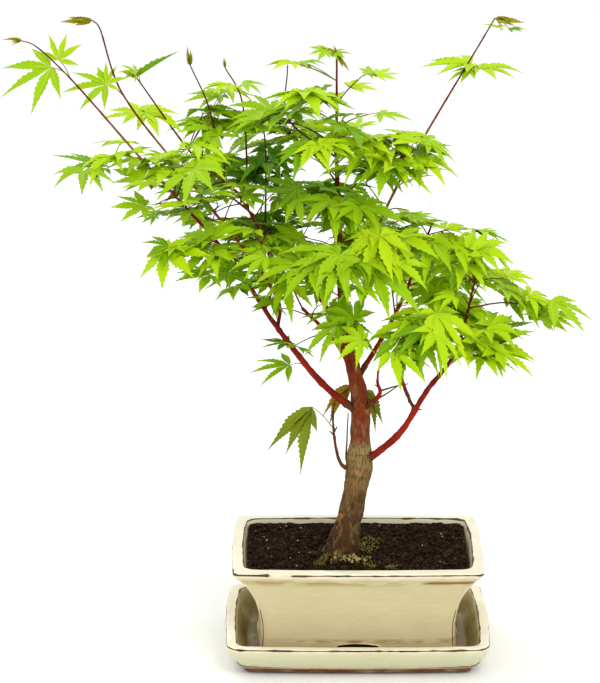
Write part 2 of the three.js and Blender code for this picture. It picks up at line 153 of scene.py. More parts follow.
class Paint:
    """One material as it is built up: its Principled shader, its nodes and the place on the object.
    A colour is a hex value or a socket, and a mask or mark is a socket that runs from 0 to 1."""

    def __init__(self, name, **sockets):
        self.material = bpy.data.materials.new(name)
        self.material.use_nodes = True
        self.tree = self.material.node_tree
        self.shader = self.tree.nodes["Principled BSDF"]
        for key, value in sockets.items():
            self.shader.inputs[key.replace("_", " ").title().replace("Ior", "IOR")].default_value = value
        self.place = self.put("TexCoord").outputs["Object"]

    def put(self, kind, settings=None, links=None):
        """One shader node with its settings and its links."""
        made = self.tree.nodes.new("ShaderNode" + kind)
        for key, value in (settings or {}).items():
            if isinstance(key, str) and hasattr(made, key):
                setattr(made, key, value)
            else:
                made.inputs[key].default_value = value
        for key, source in (links or {}).items():
            self.tree.links.new(source, made.inputs[key])
        return made

    def mark(self, name):
        """What the mesh carries at each point under a name."""
        return self.put("Attribute", {"attribute_name": name}).outputs["Fac"]

    def combine(self, operation, first, second):
        """One operation on two values, each a number or a socket."""
        settings, links = {"operation": operation}, {}
        for key, value in ((0, first), (1, second)):
            (settings if isinstance(value, (int, float)) else links)[key] = value
        return self.put("Math", settings, links).outputs[0]

    def remap(self, value, low, high, ends=None):
        """A value spread from low..high to 0..1, or to other ends."""
        settings = {"From Min": low, "From Max": high, **(ends or {})}
        return self.put("MapRange", settings, {"Value": value}).outputs["Result"]

    def cloud(self, size, detail, stretch=None):
        """Soft noise whose lumps are a size in millimetres."""
        place = self.place
        if stretch:
            place = self.put("Mapping", {"Scale": stretch}, {"Vector": place}).outputs["Vector"]
        noise_at = self.put("TexNoise", {"Scale": every(size), "Detail": detail}, {"Vector": place})
        return noise_at.outputs["Fac"]

    def patches(self, size, low, high, detail=4.0, stretch=None):
        """A mask of soft patches of a size in millimetres, from 0 below low to 1 above high."""
        return self.remap(self.cloud(size, detail, stretch), low, high)

    def dots(self, spacing, outside, inside):
        """A mask of round dots about a spacing in millimetres apart, with the reach of their edges."""
        cells = self.put("TexVoronoi", {"Scale": every(spacing)}, {"Vector": self.place})
        return self.remap(cells.outputs["Distance"], outside, inside)

    def level(self, low, high, size, detail, drift):
        """How high a place lies between two heights, wandering by a drift, all in millimetres."""
        height = self.put("SeparateXYZ", None, {0: self.place}).outputs["Z"]
        wander = self.combine("MULTIPLY", self.combine("SUBTRACT", self.cloud(size, detail), 0.5), drift * MM)
        return self.remap(self.combine("ADD", height, wander), low * MM, high * MM)

    def ramp(self, value, stops):
        """The colour at a value, from stops that each hold a place from 0 to 1 and a hex value."""
        made = self.put("ValToRGB", None, {"Fac": value})
        elements = made.color_ramp.elements
        while len(elements) < len(stops):
            elements.new(0.5)
        for element, (place, code) in zip(elements, stops):
            element.position = place
            element.color = colour(code)
        return made.outputs["Color"]

    def lay(self, under, over, mask, strength=1):
        """One colour laid over another where the mask is high."""
        share = mask if strength == 1 else self.combine("MULTIPLY", mask, strength)
        settings, links = {"data_type": "RGBA"}, {0: share}
        for key, tint in ((6, under), (7, over)):
            if isinstance(tint, str):
                settings[key] = colour(tint)
            else:
                links[key] = tint
        return self.put("Mix", settings, links).outputs[2]

    def lay_patches(self, tint, *layers):
        """Patches laid over a colour one after another. Each layer holds its colour, its strength and
        what patches() takes."""
        for over, strength, *spread in layers:
            tint = self.lay(tint, over, self.patches(*spread), strength)
        return tint

    def stain(self, under, level, spread, code, start):
        """A blotchy level stain over a colour: its height, its half depth and the place along X where
        it comes in, all in millimetres."""
        come_in = 18
        parts = self.put("SeparateXYZ", None, {0: self.place}).outputs
        below = self.remap(parts["Z"], (level - spread) * MM, level * MM)
        above = self.remap(parts["Z"], (level + spread) * MM, level * MM)
        along = self.remap(parts["X"], (start - come_in) * MM, (start + come_in) * MM, {"To Min": 0.12})
        near = self.combine("MULTIPLY", self.combine("MULTIPLY", below, above), along)
        blotch = self.patches(7, 0.4, 0.58, 6.0, (0.35, 0.3, 1.6))
        return self.lay(under, code, self.combine("MULTIPLY", near, blotch))

    def finish(self, tint=None, relief=None, strength=1.0):
        """The material with its colour and its fine relief: lump size, detail, depth in millimetres and,
        where the lumps are drawn out, the stretch."""
        if tint:
            self.tree.links.new(tint, self.shader.inputs["Base Color"])
        if relief:
            size, detail, depth, *stretch = relief
            bump = self.put("Bump", {"Distance": depth * MM, "Strength": strength},
                            {"Height": self.cloud(size, detail, *stretch)})
            self.tree.links.new(bump.outputs["Normal"], self.shader.inputs["Normal"])
        return self.material


def stoneware_glaze(name, low, high, bands, gloss=0.24, stains=()):
    """Cream glaze fired over iron-brown stoneware. It is thick and pale on the flats, pools greenish
    low down, and breaks to a fine dark line where it runs thin over an edge. bands are the
    colours from the lowest height to the highest, both in millimetres."""
    paint = Paint(name, roughness=0.26, ior=1.5)
    tint = paint.ramp(paint.level(low, high, 9, 4.0, 4), bands)
    tint = paint.lay_patches(tint, ("#bfb684", 0.2, 26, 0.42, 0.7),
                             ("#efe6c8", 0.2, 6, 0.5, 0.75, 4.0, (0.4, 0.4, 2)))
    for mark in stains:
        tint = paint.stain(tint, *mark)
    broken = paint.combine("MULTIPLY", paint.mark("edge"), paint.patches(24, 0.2, 0.33, 7.0))
    line = paint.remap(broken, 0.3, 0.55)
    iron = paint.lay_patches("#5a3216", ("#1d110a", 1, 6, 0.4, 0.65))
    specks = paint.combine("MULTIPLY", paint.dots(5, 0.1, 0.05), paint.patches(14, 0.5, 0.62))
    tint = paint.lay(paint.lay(tint, iron, line), "#7d5a2c", specks, 0.55)
    rough = paint.remap(line, 0, 1, {"To Min": gloss, "To Max": 0.6})
    paint.tree.links.new(rough, paint.shader.inputs["Roughness"])
    return paint.finish(tint, (2.2, 3.0, 0.25), 0.5)


def potting_soil():
    """Damp peaty soil: dark and matt, with paler crumbs, and it takes the light only in grains."""
    paint = Paint("damp_potting_soil", roughness=0.95, specular_ior_level=0.08)
    tint = paint.lay_patches("#0f0703", ("#2c1a0c", 1, 2.2, 0.42, 0.68, 6.0),
                             ("#42290f", 1, 3.5, 0.56, 0.64, 5.0), ("#8a7052", 1, 1.3, 0.64, 0.71))
    return paint.finish(tint, (1.6, 6.0, 1.2))


def living_moss():
    """Cushions of living moss, yellow-green at the tips and dark between."""
    paint = Paint("living_moss", roughness=0.9, specular_ior_level=0.1)
    return paint.finish(paint.lay_patches("#55521c", ("#aaa24c", 1, 3, 0.36, 0.64)))


def rough_bark():
    """Weathered maple bark: grey-brown and furrowed at the foot, red-brown and smoother above the
    lowest fork, where grey scars still run up through the red."""
    stages = [(0.0, "#3c280f"), (0.12, "#4d3519"), (0.22, "#82623a"), (0.31, "#94784a"), (0.36, "#933f1c"),
              (0.6, "#8f3114"), (0.8, "#7c2410"), (1.0, "#6e1a10")]
    paint = Paint("rough_maple_bark", roughness=0.86, specular_ior_level=0.15)
    tint = paint.ramp(paint.level(SOIL_LEVEL, 333, 14, 5.0, 50), stages)
    tint = paint.lay_patches(tint, ("#6e3a1e", 0.25, 4, 0.46, 0.6, 6.0, (1, 1, 0.5)),
                             ("#8d8258", 0.38, 4.5, 0.52, 0.62, 6.0, (1, 1, 0.4)),
                             ("#b07c46", 0.7, 11, 0.63, 0.67, 3.0),
                             ("#a88c5e", 0.45, 1.3, 0.56, 0.68, 5.0, (1, 1, 0.3)))
    lowest_fork = 153
    callus = paint.stain(tint, lowest_fork, 9, "#a8945e", -90)
    streaked = paint.lay_patches(callus, ("#2b1a0c", 0.62, 1.3, 0.48, 0.6, 7.0, (1, 1, 0.3)))
    # Where the relief is hollow the bark is darkened: painted shade in the furrows.
    tint = paint.lay(streaked, "#1d0f06", paint.remap(paint.mark("furrow"), 0.55, 1.1), 0.45)
    return paint.finish(tint, (1.8, 7.0, 0.9, (1, 1, 0.35)))


def smooth_bark(name, lit, deep, lenticel):
    """Bark of a young bough: smooth and satin, mottled, with small pale breathing pores. lit is one
    colour, or the stops of its colours from the fork outwards: brown in the old collar of a bough,
    warmer and then darker along a shoot. deep is a darker colour laid over it in random mottles; on the
    boughs and shoots it is the colour of their shaded side, so partly painted shade."""
    paint = Paint(name, roughness=0.6, specular_ior_level=0.12)
    if isinstance(lit, list):
        lit = paint.ramp(paint.mark("along"), lit)
    mottled = paint.lay_patches(lit, (deep, 0.55, 7, 0.62, 0.4, 4.0, (1, 1, 0.4)))
    return paint.finish(paint.lay(mottled, lenticel, paint.dots(3.4, 0.13, 0.06), 0.45), (1.5, 4.0, 0.2))


def plain_skin(name, code, roughness=0.55):
    """One plain colour on a faintly puckered skin: a thin maple blade with a soft waxy sheen or, when
    rough, a dull grain of grit."""
    paint = Paint(name, roughness=roughness, ior=1.4, specular_ior_level=0.22, base_color=colour(code))
    return paint.finish(None, (2.4, 3.0, 0.3), 0.6)


POT_BANDS = [(0.0, "#7a5a2a"), (0.07, "#a08350"), (0.12, "#c9b684"), (0.2, "#d9ca9e"), (0.45, "#d6c79a"),
             (0.7, "#dccda2"), (0.86, "#dcd3a6"), (0.93, "#e6dab2"), (0.97, "#f0e6ca"), (1.0, "#f4ecd4")]
# Stains: height and half depth in millimetres, colour, and where along X each comes in.
POT_STAINS = [(71.2, 5, "#bda76c", -90), (71.0, 2.0, "#8c5428", 18), (20.6, 2.4, "#94703c", -90)]
TRAY_BANDS = [(0.0, "#4a1d0c"), (0.18, "#6a2c14"), (0.215, "#b9a878"), (0.33, "#d3cda4"), (0.6, "#ccd0ac"),
              (0.85, "#dcd5ae"), (0.95, "#efe7ca"), (1.0, "#f4ecd4")]

glazed_pot = stoneware_glaze("cream_glazed_stoneware_pot", 7, 80.2, POT_BANDS, stains=POT_STAINS)
glazed_tray = stoneware_glaze("cream_glazed_stoneware_tray", 0, 24.2, TRAY_BANDS)
# Inside the tray the cream glaze is darkened to olive-brown, most at the floor: painted shade from the pot
# standing in it.
tray_well_painted_shade = stoneware_glaze("tray_well_glaze_darkened_by_painted_shade", 7, 24.2,
                              [(0.0, "#6f5e28"), (0.5, "#85753f"), (0.85, "#a8996a"), (1.0, "#e3d8b2")], 0.5)
soil_material = potting_soil()
grit_material = plain_skin("pale_pumice_grit", "#b3a078", 0.9)
moss_material = living_moss()
trunk_bark = rough_bark()

# The colours of a bough over the first stretch from its fork, and of a shoot over its whole length.
BOUGH_AGES = [(0.0, "#3d2c18"), (0.1, "#5a4026"), (0.135, "#842a16"), (0.19, "#a3240f"), (0.6, "#96200e"),
              (1.0, "#5e1612")]
SHOOT_AGES = [(0.0, "#7a180c"), (0.3, "#8c2a10"), (0.45, "#a8601c"), (0.6, "#9a7220"), (0.7, "#7a2a12"),
              (0.95, "#4d1010"), (1.0, "#7d6a1c")]
# deep of each bark: on the boughs and shoots their shaded side's colour, so the mottles are partly painted
# shade and partly the bark's own mottling; on the stalks a brown tinge.
red_bark = smooth_bark("crimson_bough_bark", BOUGH_AGES, "#64100a", "#b9735a")
shoot_bark = smooth_bark("young_shoot_bark", SHOOT_AGES, "#6a1a10", "#c98a55")
stalk_skin = smooth_bark("leaf_stalk_skin", "#9aa832", "#8a5a34", "#c7cf6a")
# The fine twigs inside the crown and the low left twig have their bark painted dark: painted shade from the
# leaves over them.
shaded_twig_bark = smooth_bark("twig_bark_darkened_as_painted_shade", "#6b3a22", "#2e1410", "#8a6a50")

# The tints of each kind of leaf. The first four fresh tints are lit and shaded copies of one leaf green,
# and the shaded kind's tints are painted shade for leaves inside the crown. The share of leaves with each
# of the first four fresh tints differs: the right of the crown, towards the light, takes more of the lit
# ones, painted light.
LEAF_TINTS = {
    "fresh_leaf": {"lime_leaf": "#afd205", "sunlit_leaf": "#b8d60a", "grass_green_leaf": "#98c106",
                   "deep_green_leaf": "#76a506", "unfolding_leaf": "#a39a1a"},
    "shaded_leaf": {"inner_leaf": "#6ea004", "shaded_leaf": "#4f8506"},
    "olive_leaf": {"olive_green_leaf": "#7d8c12", "dull_olive_leaf": "#6c7a0e"},
    "bronze_leaf": {"bronze_tinged_leaf": "#a8841a", "brown_green_leaf": "#868a12"},
}
SUNNY_SHARES = (0.46, 0.28, 0.18, 0.08)
SHADED_SIDE_SHARES = (0.26, 0.06, 0.42, 0.26)
DEEP_GREEN, UNFOLDING = 3, 4

# Each kind of leaf also has its vein and the dry tips of its lobes, after its tints.
pale_vein = plain_skin("pale_leaf_vein", "#b4d42e")
dull_vein = plain_skin("dull_leaf_vein", "#98993a")
dry_tip = plain_skin("dry_leaf_tip", "#84876a")
VEINS = {"fresh_leaf": pale_vein, "shaded_leaf": pale_vein, "olive_leaf": dull_vein, "bronze_leaf": dull_vein}
LEAF_FINISHES = {kind: [plain_skin(name, code) for name, code in tints.items()] + [VEINS[kind], dry_tip]
                 for kind, tints in LEAF_TINTS.items()}
VEIN, TIP = -2, -1


# ---- pot, tray and soil ------------------------------------------------------------------------

POT = {"length": 180, "width": 125}
TRAY = {"length": 190, "width": 135}
BOW = 1.8
CORNER_STEPS = 10
SIDE_STEPS = 44
# The drainage slots: half their width at the front and at the side, their height, and how much of it
# they lose at their ends. They are cut through the foot, outside the hollow under the pot.
SLOT = {"front": 17, "side": 10.5, "height": 12.0, "arch": 0.14}
HOLLOW = {"half_length": 50, "half_width": 22}
# Stretches of the pot's front lip along X and how broad the iron line is there: thick, or covered.
LIP_RUNS = [(-91, -64, 1.8), (-64, -48, 0.1), (-48, -37, 1.8)]
LIP_INSET = 1.5  # how far in its outer edge reaches
# Insets from the rim between which the upright corners of the pot's foot are worn.
WORN_CORNER = (17, 22)


def rectangle_ring(length, width, corner, z):
    """One level ring of a rounded rectangle with bowed sides, and how near each point is to the
    middle of a corner."""
    points, nearness = [], []
    far, deep = length / 2 - corner, width / 2 - corner
    centres = [(far, -deep, -90), (far, deep, 0), (-far, deep, 90), (-far, -deep, 180)]

    def on_arc(centre, turn):
        angle = math.radians(centre[2] + turn)
        return Vector((centre[0] + corner * math.cos(angle), centre[1] + corner * math.sin(angle), z))

    for side, centre in enumerate(centres):
        for step in range(CORNER_STEPS + 1):
            share = step / CORNER_STEPS
            points.append(on_arc(centre, 90 * share))
            nearness.append(1 - abs(2 * share - 1))
        start, end = points[-1], on_arc(centres[(side + 1) % 4], 0)
        outwards = Vector((end.y - start.y, start.x - end.x, 0)).normalized()
        for step in range(1, SIDE_STEPS):
            share = step / SIDE_STEPS
            points.append(start.lerp(end, share) + outwards * BOW * (1 - (2 * share - 1) ** 2))
            nearness.append(0)
    return points, nearness


def rounded(profile, rounds=3):
    """The profile with its corners cut again and again, which leaves the soft bends of thrown and
    pressed clay. The profile is closed."""
    for _ in range(rounds):
        cut = []
        for here, there in zip(profile, profile[1:] + profile[:1]):
            cut.append([a * 0.75 + b * 0.25 for a, b in zip(here, there)])
            cut.append([a * 0.25 + b * 0.75 for a, b in zip(here, there)])
        profile = cut
    return profile


def vessel(size, profile, arrises, foot=None):
    """A fired clay vessel. profile holds [inset from the rim, height, corner radius]. arrises holds
    (inset, height, reach, strength) of each edge where the glaze runs thin."""
    skin = Skin()
    rows = rounded(profile)
    around = 4 * (CORNER_STEPS + SIDE_STEPS)
    points, marks = [], []
    for inset, z, corner in rows:
        ring, nearness = rectangle_ring(size["length"] - 2 * inset, size["width"] - 2 * inset, corner, z)
        for point, near in zip(ring, nearness):
            if foot:
                point.z = slotted(point, foot)
            wobble = 0.35 * unevenness(point, 38) + 0.12 * unevenness(point, 9)
            out = Vector((point.x, point.y, 0)).normalized()
            points.append((point + out * wobble) * MM)
            broad = max(0.7, 1 + 1.5 * unevenness(point, 11))
            in_front = point.y < -0.4 * size["width"]
            if foot and inset < LIP_INSET and in_front:
                broad *= next((run for start, end, run in LIP_RUNS if start < point.x < end), 1)
            thin = max(strength * max(0, 1 - math.hypot(inset - across, z - height) / (reach * broad))
                       for across, height, reach, strength in arrises)
            upright = foot and WORN_CORNER[0] < inset < WORN_CORNER[1] and z > foot
            marks.append(min(1.0, max(thin, 0.75 * near ** 10 if upright else 0)))
    faces = rings_to_faces(len(rows), around)
    last = (len(rows) - 1) * around
    faces += [(last + i, last + (i + 1) % around, (i + 1) % around, i) for i in range(around)]
    skin.add(points, faces, marks=marks)
    return skin


def slotted(point, foot):
    """The height of a foot point once the drainage slots have been cut up into the foot."""
    in_front = abs(point.x) < SLOT["front"] and abs(point.y) > HOLLOW["half_width"]
    in_side = abs(point.y) < SLOT["side"] and abs(point.x) > HOLLOW["half_length"]
    off_middle = abs(point.x) / SLOT["front"] if in_front else abs(point.y) / SLOT["side"]
    ceiling = foot + SLOT["height"] * (1 - SLOT["arch"] * off_middle ** 2)
    return ceiling if point.z < ceiling and (in_front or in_side) else point.z


CAVITY = [[8.2, 79.4, 10], [8.8, 76, 10], [11, 70, 10], [17, 62, 10], [22, 51, 10], [25, 37, 9],
          [25.5, 25.5, 8], [31, 25.4, 6]]
POT_PROFILE = [[34, 21.4, 4], [29, 21.4, 5], [27.5, 8, 5], [27, 7, 5], [18.5, 7, 6], [18.2, 8, 6],
               [19.7, 26, 6], [19, 37, 6], [16, 51, 6], [11, 62, 5.5], [7.4, 67.6, 5], [5.4, 70.4, 5],
               [4.3, 71.8, 5], [3.5, 72.4, 5], [1.5, 74.8, 5], [0.2, 77.2, 5], [0, 78.6, 5], [0.7, 79.9, 5],
               [1.8, 80.2, 5], [6.6, 80.3, 8], [7.9, 80.1, 9]] + CAVITY
POT_ARRISES = [(0.12, 78.4, 0.95, 1.0), (7.9, 79.9, 0.95, 1.0), (18.4, 7.6, 2.4, 0.9)]
TRAY_PROFILE = [[24, 0.3, 4], [12.5, 0.3, 5], [12, 4.0, 6], [11.6, 4.4, 6], [9, 5.5, 7], [4.4, 11.5, 9],
                [1.2, 18, 10], [0.1, 21, 11], [0, 22.6, 11], [0.5, 23.7, 11], [1.5, 24.0, 11],
                [6.2, 23.5, 9], [7.2, 23.2, 9], [8.0, 21.4, 9], [10, 16.6, 9], [15, 8, 8], [18, 7, 7],
                [24, 7, 5]]
TRAY_ARRISES = [(0.12, 22.9, 0.95, 1.0), (7.1, 23.2, 0.9, 0.95), (11.8, 4.4, 1.0, 0.6)]


def close_bottom(skin, level, size, inset):
    """The flat floor that shuts a vessel inside its innermost ring at one height."""
    skin.add(*sheet(size["length"] / 2 - inset, size["width"] / 2 - inset, 24, 24, lambda x, y: level))


def make_tray():
    """The tray in one piece; its inside takes a second finish, the glaze darkened by painted shade from the
    pot, most at the floor.
    """
    skin = vessel(TRAY, TRAY_PROFILE, TRAY_ARRISES)
    close_bottom(skin, 6.9, TRAY, 20)
    close_bottom(skin, 0.4, TRAY, 20)
    rim, floor = 7, 6.5
    # Faces inside the rim and above the underside of the floor take the second finish, the painted shade.
    for number, face in enumerate(skin.faces):
        middle = sum((skin.points[i] for i in face), Vector()) / len(face) / MM
        inset = min(TRAY["length"] / 2 - abs(middle.x), TRAY["width"] / 2 - abs(middle.y))
        if inset > rim and middle.z > floor:
            skin.finishes[number] = 1
    return skin.piece("glazed_tray", "glazed_stoneware", [glazed_tray, tray_well_painted_shade], ["tray"], "edge")


def make_pot():
    """The pot: a lip that falls back to a faint crease, curved walls, and a slotted hollow foot."""
    skin = vessel(POT, POT_PROFILE, POT_ARRISES, foot=7)
    close_bottom(skin, 21.5, POT, 31)
    close_bottom(skin, 25.3, POT, 28)
    return skin.piece("glazed_pot", "glazed_stoneware", [glazed_pot], ["pot"], "edge")


def ground(x, y):
    """How high the soil stands at a place, in millimetres: mounded round the trunk, rising towards the
    back, and crumbly."""
    mound = 5.5 * math.exp(-((x + 10) ** 2 + (y + 14) ** 2) / 260)
    slope = 3.2 * (y + 53) / 106
    crumbs = 0.9 * unevenness((x, y, 3), 15) + 0.8 * unevenness((x, y, 9), 4)
    return SOIL_LEVEL + 0.8 + (mound + slope) + crumbs


def make_soil():
    """The bed of soil inside the lip of the pot."""
    half_length, half_width, step = 80.4, 52.9, 1.6
    skin = Skin()
    skin.add(*sheet(half_length, half_width, int(2 * half_length / step), int(2 * half_width / step), ground))
    return skin.piece("soil_bed", "soil", [soil_material], ["soil"])


def lump(centre, radius, chance):
    """A small uneven crumb, as three rings with closed ends."""
    sides = 6
    spin = chance.uniform(0, math.tau)
    points = []
    for height, share in ((-0.6, 0.55), (-0.1, 1.0), (0.55, 0.6)):
        for side in range(sides):
            angle = spin + math.tau * side / sides
            out = radius * share * chance.uniform(0.7, 1.2)
            points.append(centre + Vector((out * math.cos(angle), out * math.sin(angle), radius * height)))
    return points, rings_to_faces(3, sides, True)


def make_crumbs():
    """Loose crumbs on the bed, more of them small than large, and pale grit in front of the trunk and
    here and there."""
    chance = random.Random(11)
    skin = Skin()

    def anywhere(half_length, half_width):
        return chance.uniform(-half_length, half_length), chance.uniform(-half_width, half_width)

    def strew(count, place, size_of, lift, finish):
        for _ in range(count):
            x, y = place()
            size = size_of()
            points, faces = lump(Vector((x, y, ground(x, y) + lift(size))) * MM, size * MM, chance)
            skin.add(points, faces, finish)

    strew(1500, lambda: anywhere(78, 50), lambda: 0.5 + 1.5 * chance.random() ** 3,
          lambda size: size * 0.25, 0)
    strew(60, lambda: (chance.gauss(-3, 5), chance.gauss(-23, 3)), lambda: chance.uniform(0.6, 1.4),
          lambda size: size * 0.3, 1)
    strew(45, lambda: anywhere(76, 48), lambda: chance.uniform(0.4, 0.9), lambda size: 0.4, 1)
    return skin.piece("soil_crumbs", "soil", [soil_material, grit_material])


# Each cushion of moss: its middle and its reach, in millimetres.
MOSS_CUSHIONS = [(7, 4, 9), (12, 16, 8), (4, -8, 6), (-22, -22, 6), (-14, -25, 6), (-5, -26, 6), (4, -22, 5),
                 (-28, -28, 5), (10, -30, 6), (24, -36, 5)]


def make_moss():
    """Moss as short tufts of pointed blades, thick in the middle of each cushion."""
    chance = random.Random(5)
    skin = Skin()
    for centre_x, centre_y, reach in MOSS_CUSHIONS:
        for _ in range(int(4.6 * reach ** 1.7)):
            out, turn = reach * chance.random() ** 0.6, chance.uniform(0, math.tau)
            x, y = centre_x + out * math.cos(turn), centre_y + out * math.sin(turn)
            base = Vector((x, y, ground(x, y) - 0.3)) * MM
            tall = chance.uniform(1.0, 2.3) * MM
            lean = Vector((chance.uniform(-1, 1), chance.uniform(-1, 1), 0)) * 0.6 * tall
            side = Vector((math.cos(turn + 1), math.sin(turn + 1), 0)) * 0.35 * MM
            across = Vector((-side.y, side.x, 0))
            tip = base + lean + UP * tall
            skin.add([base - side, base + side, base + across, tip], [(0, 1, 3), (1, 2, 3), (2, 0, 3)])
    return skin.piece("moss_cushions", "soil", [moss_material], smooth=False)


# ---- trunk, boughs and shoots ------------------------------------------------------------------

def growth(leg):
    """One leg of growth: its length in millimetres, its heading seen from above (0 right, 90 back)
    and its rise above level, both in degrees."""
    length, heading, rise = leg
    turn, climb = math.radians(heading), math.radians(rise)
    level = length * math.cos(climb)
    return Vector((level * math.cos(turn), level * math.sin(turn), length * math.sin(climb))) * MM


class CentreLine:
    """The rounded centre line of a limb, read by the share of its length."""

    def __init__(self, points, steps=24):
        ends = [points[0] * 2 - points[1], *points, points[-1] * 2 - points[-2]]
        self.dots = []
        for before, here, there, after in zip(ends, ends[1:], ends[2:], ends[3:]):
            self.dots.extend(self.span(before, here, there, after, steps))
        self.dots.append(points[-1].copy())
        self.reached = [0.0]
        for here, there in zip(self.dots, self.dots[1:]):
            self.reached.append(self.reached[-1] + (there - here).length)
        self.length = self.reached[-1]

    @staticmethod
    def span(before, here, there, after, steps):
        """Places on the way from here to there, on a curve that passes smoothly through all four."""
        pairs = (before, here), (here, there), (there, after)
        first, middle, last = (max((b - a).length ** 0.5, 1e-6) for a, b in pairs)
        pace = (there - here) / middle
        start = ((here - before) / first - (there - before) / (first + middle) + pace) * middle
        finish = (pace - (after - here) / (middle + last) + (after - there) / last) * middle
        square = (there - here) * 3 - start * 2 - finish
        cube = (here - there) * 2 + start + finish
        return [here + start * t + square * t * t + cube * t ** 3 for t in (i / steps for i in range(steps))]

    def at(self, share):
        goal = min(max(share, 0), 1) * self.length
        last = len(self.reached) - 1
        low = max(0, next((i for i, far in enumerate(self.reached) if far >= goal), last) - 1)
        gap = self.reached[low + 1] - self.reached[low]
        return self.dots[low].lerp(self.dots[low + 1], (goal - self.reached[low]) / gap if gap else 0)

    def way(self, share):
        return (self.at(share + 0.01) - self.at(share - 0.01)).normalized()


def grow(start, legs):
    """The centre line of a limb from its legs of growth."""
    points = [start]
    for leg in legs:
        points.append(points[-1] + growth(leg))
    return CentreLine(points)


TRUNK_FOOT = Vector((-12, -12, SOIL_LEVEL)) * MM

# Every limb: its parent and the share where it forks, its radii at foot and tip in millimetres, and
# the legs of its growth. They start from the frame's, with more bends, and the bark is slimmer than
# the solid in the frame.
LIMBS = {
    "trunk": (None, 0, 10.6, 0.7, [(70, 20, 79), (50, 90, 87), (55, 150, 78), (100, 150, 86), (98, 255, 88)]),
    "left_bough": ("trunk", 0.294, 2.8, 1.5, [(38, 195, 42), (56, 195, 53), (30, 180, 57)]),
    "far_left_shoot": ("left_bough", 1, 1.25, 0.45,
                       [(22, 185, 60), (100, 188, 50), (91, 188, 50), (25, 185, 42), (7, 180, 17)]),
    "second_left_shoot": ("left_bough", 0.75, 1.2, 0.5,
                          [(18, 80, 72), (86, 165, 53), (104, 187, 54), (48, 180, 72), (5, 180, 40)]),
    "third_left_shoot": ("second_left_shoot", 0.07, 1.0, 0.5,
                         [(40, 115, 59), (45, 165, 61), (38, 185, 42), (74, 190, 55)]),
    "right_bough": ("trunk", 0.19, 2.9, 0.6, [(40, 340, 42), (44, 330, 58), (35, 345, 56), (62, 352, 76)]),
    "right_bough_twig": ("right_bough", 0.355, 1.4, 0.9, [(22, 180, 68), (22, 165, 78)]),
    "right_long_shoot": ("trunk", 0.43, 1.3, 0.5, [(35, 30, 70), (45, 15, 80), (48, 0, 67), (134, 352, 61)]),
    "left_centre_bough": ("trunk", 0.355, 2.3, 1.2, [(34, 205, 64), (40, 197, 48)]),
    "right_short_bough": ("trunk", 0.3, 2.5, 0.45, [(22, 335, 44), (10, 205, 78), (22, 20, 82)]),
    "low_left_twig": ("trunk", 0.18, 1.5, 0.6, [(15, 207, 26), (41, 228, 76), (9, 60, 76)]),
    "rear_left_bough": ("trunk", 0.44, 1.9, 0.7, [(31, 135, 44), (85, 150, 45), (30, 170, 37)]),
    "rear_right_bough": ("trunk", 0.36, 2.1, 0.7, [(63, 48, 44), (69, 28, 65)]),
}
# How fast a limb thins: 1 evenly, more where it thins at once.
THINS = {"right_short_bough": 1.3, "left_centre_bough": 1.4}

YOUNG = ("far_left_shoot", "second_left_shoot", "third_left_shoot", "right_long_shoot")

paths = {}
for limb_name, (parent, fork, _, _, limb_legs) in LIMBS.items():
    paths[limb_name] = grow(paths[parent].at(fork) if parent else TRUNK_FOOT, limb_legs)


def tube(path, radius_at, around, steps, relief_at=None):
    """Rings along a path with a radius in metres at each share, and relief in millimetres. The marks
    are high in the hollows of the relief."""
    points, marks = [], []
    across = path.way(0).orthogonal().normalized()
    for step in range(steps + 1):
        share = step / steps
        centre, way = path.at(share), path.way(share)
        across = (across - way * across.dot(way)).normalized()
        aside = way.cross(across)
        for side in range(around):
            angle = math.tau * side / around
            out = across * math.cos(angle) + aside * math.sin(angle)
            radius = radius_at(share, angle)
            bump = relief_at(centre + out * radius, share, angle) if relief_at else 0
            points.append(centre + out * (radius + bump * MM))
            marks.append(max(0.0, min(1.0, 0.5 - bump * 0.6)))
    return points, rings_to_faces(steps + 1, around, True), marks


def thin_tube(skin, path, foot, loss, around, steps):
    """A plain tube on a skin, with the radius at its foot and what it loses on the way in millimetres."""
    points, faces, _ = tube(path, lambda share, angle: (foot - loss * share) * MM, around, steps)
    skin.add(points, faces)


def lumps_along(chance, count, low, high, girth):
    """Old knobs and pruning scars: where each sits along a limb and round it, its size and reach."""
    return [(chance.uniform(low, high), chance.uniform(0, math.tau), chance.uniform(0.35, 1) * girth,
             chance.uniform(0.012, 0.022)) for _ in range(count)]


def knobs(spots, share, angle):
    """How far the knobs stand out at one place, in millimetres."""
    total, reach_round = 0, 0.45
    for place, turn, size, reach in spots:
        round_gap = (angle - turn + math.pi) % math.tau - math.pi
        total += size * math.exp(-((share - place) / reach) ** 2 - (round_gap / reach_round) ** 2)
    return total


